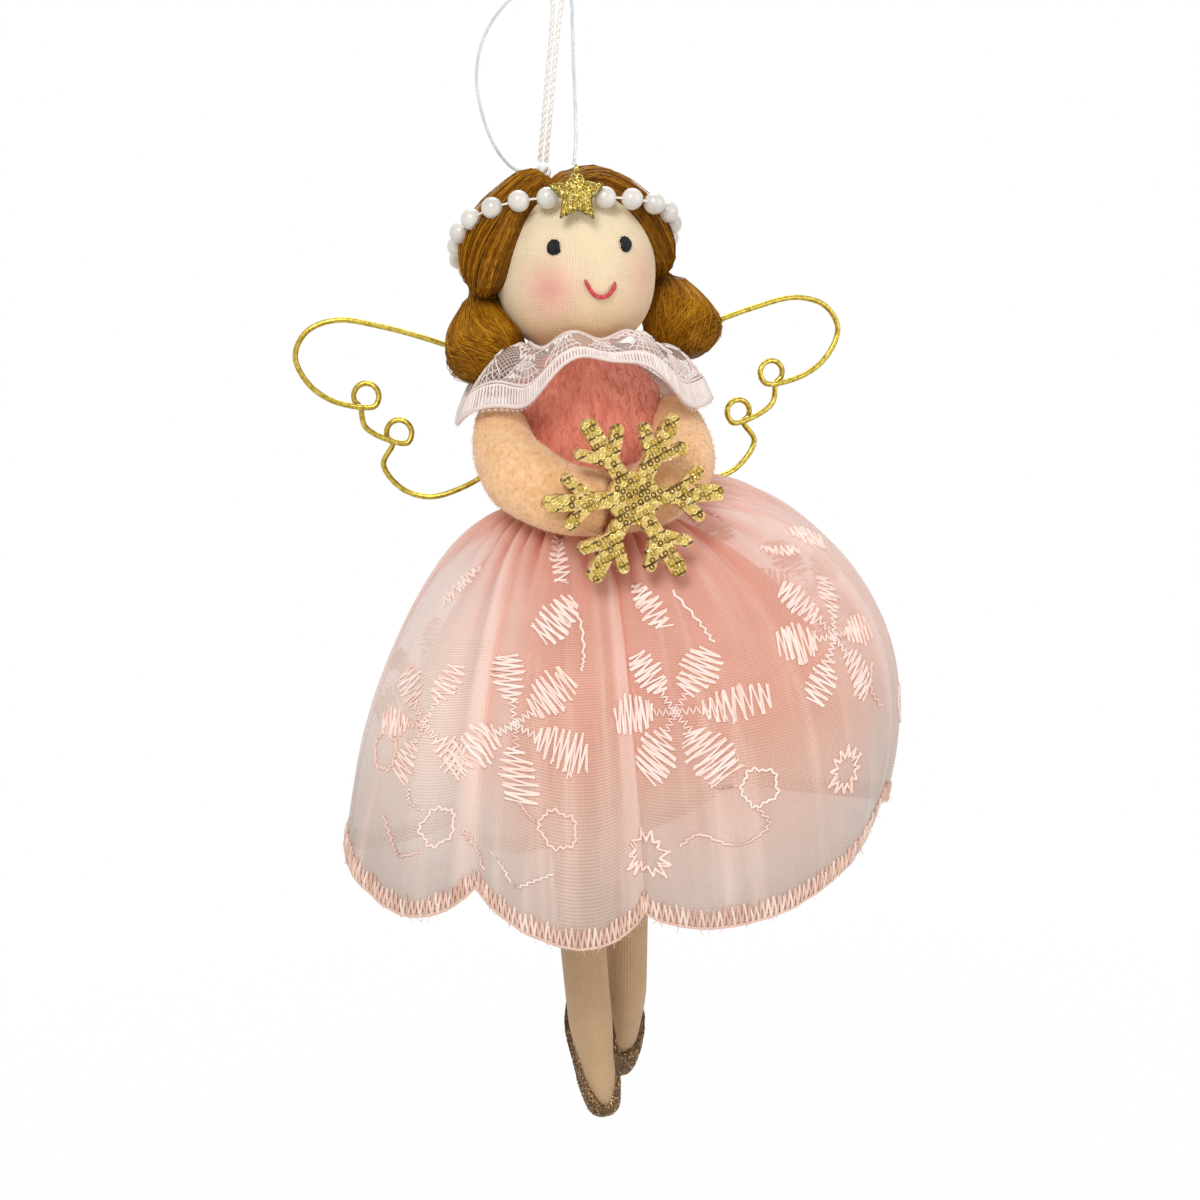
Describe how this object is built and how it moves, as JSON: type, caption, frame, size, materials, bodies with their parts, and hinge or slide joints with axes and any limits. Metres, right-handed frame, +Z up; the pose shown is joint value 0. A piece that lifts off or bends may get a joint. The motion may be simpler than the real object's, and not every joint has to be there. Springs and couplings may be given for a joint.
{
  "type": "angel ornament",
  "caption": "Hanging cloth angel doll with parted hair, a bead circlet, a lace collar, wire wings, a gathered two-layer skirt and a glitter snowflake in its hands.",
  "frame": {"origin": "top of the white hanging loop, where a hook or twig carries it", "axes": "+Z up along the hanging loop, -Y out of the doll's face, +X to the doll's left hand"},
  "size_m": [0.1125, 0.0709, 0.219],
  "materials": {
    "knit_skin": "fine cream knit",
    "filling": "white foam and wadding",
    "hair": "golden brown fibre",
    "elastic": "clear elastic",
    "pearl": "pearl lustre",
    "thread": "twisted thread",
    "glitter_gold": "gold glitter on pale foam sheet",
    "eye_thread": "satin stitch",
    "mouth_thread": "satin stitch",
    "cord": "two-ply twisted cord",
    "clear_line": "clear nylon",
    "bodice_cloth": "brushed pile",
    "lace": "open thread lace",
    "felt": "soft felt",
    "wire": "bright greenish gold",
    "organza": "sheer with stitched flowers",
    "tulle": "soft mesh",
    "glitter_brown": "brown-gold glitter paint"
  },
  "bodies": {
    "head": {"head_core": "filling", "head_cover": "knit_skin", "neck_tie": "thread", "eye_right": "eye_thread", "eye_left": "eye_thread", "mouth_stitch": "mouth_thread", "hair_cap": "hair", "hair_bunch_right": "hair", "hair_bunch_left": "hair", "hair_tie_right": "elastic", "hair_tie_left": "elastic", "circlet_string": "thread", "pearl_01": "pearl", "pearl_02": "pearl", "pearl_03": "pearl", "pearl_04": "pearl", "pearl_05": "pearl", "pearl_06": "pearl", "pearl_07": "pearl", "pearl_08": "pearl", "pearl_09": "pearl", "pearl_10": "pearl", "pearl_11": "pearl", "pearl_12": "pearl", "pearl_13": "pearl", "pearl_14": "pearl", "pearl_15": "pearl", "pearl_16": "pearl", "pearl_17": "pearl", "pearl_18": "pearl", "pearl_19": "pearl", "pearl_20": "pearl", "pearl_21": "pearl", "pearl_22": "pearl", "forehead_star": "glitter_gold", "hanging_knot": "cord", "hanging_cord": "cord", "clear_thread": "clear_line"},
    "torso": {"bodice": "bodice_cloth", "torso_filling": "filling", "lace_collar": "lace", "wing_right": "wire", "wing_left": "wire", "wing_patch": "bodice_cloth", "overskirt": "organza", "skirt_lining": "tulle", "waist_thread": "thread"},
    "arms": {"arm_right": "felt", "arm_left": "felt", "snowflake": "glitter_gold"},
    "leg_right": {"leg_right": "knit_skin", "slipper_right": "glitter_brown"},
    "leg_left": {"leg_left": "knit_skin", "slipper_left": "glitter_brown"}
  },
  "joints": [
    {"name": "neck_turn", "type": "hinge", "parent": "head", "child": "torso", "pos_m": [0, 0, -0.0726], "axis": [0, 0, 1], "range_deg": [-10, 10]},
    {"name": "arms_lift", "type": "hinge", "parent": "torso", "child": "arms", "pos_m": [0, 0, -0.0852], "axis": [-1, 0, 0], "range_deg": [0, 25]},
    {"name": "leg_right_swing", "type": "hinge", "parent": "torso", "child": "leg_right", "pos_m": [-0.00525, 0, -0.1181], "axis": [1, 0, 0], "range_deg": [-15, 15]},
    {"name": "leg_left_swing", "type": "hinge", "parent": "torso", "child": "leg_left", "pos_m": [0.00525, 0, -0.1181], "axis": [1, 0, 0], "range_deg": [-15, 15]}
  ]
}
